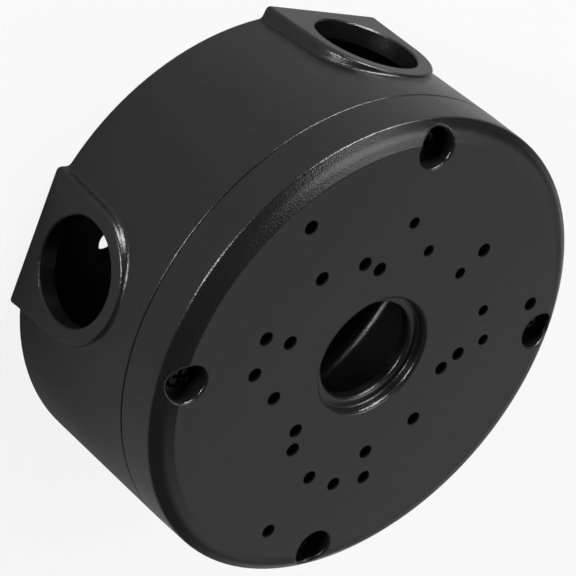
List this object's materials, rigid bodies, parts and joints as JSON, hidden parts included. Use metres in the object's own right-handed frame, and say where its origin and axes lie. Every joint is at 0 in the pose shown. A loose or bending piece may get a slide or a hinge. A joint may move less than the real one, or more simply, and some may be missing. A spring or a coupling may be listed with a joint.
{
  "type": "camera junction box",
  "caption": "Round wall box for a security camera: screwed cover with camera fixing holes, cable entries on the side, front and back.",
  "frame": {"origin": "centre of the rear cable hole in the flat back face that lies on the wall", "axes": "+Z out of the wall towards the cover, +X and +Y along the two side cable entries"},
  "size_m": [0.1392, 0.1392, 0.063],
  "materials": {
    "black_plastic": "satin, fine moulded grain",
    "black_rubber": "matt",
    "black_steel": "black coated"
  },
  "bodies": {
    "root": {"base": "black_plastic", "cover": "black_plastic", "seal_ring": "black_rubber", "cover_screws": "black_steel"}
  },
  "joints": []
}
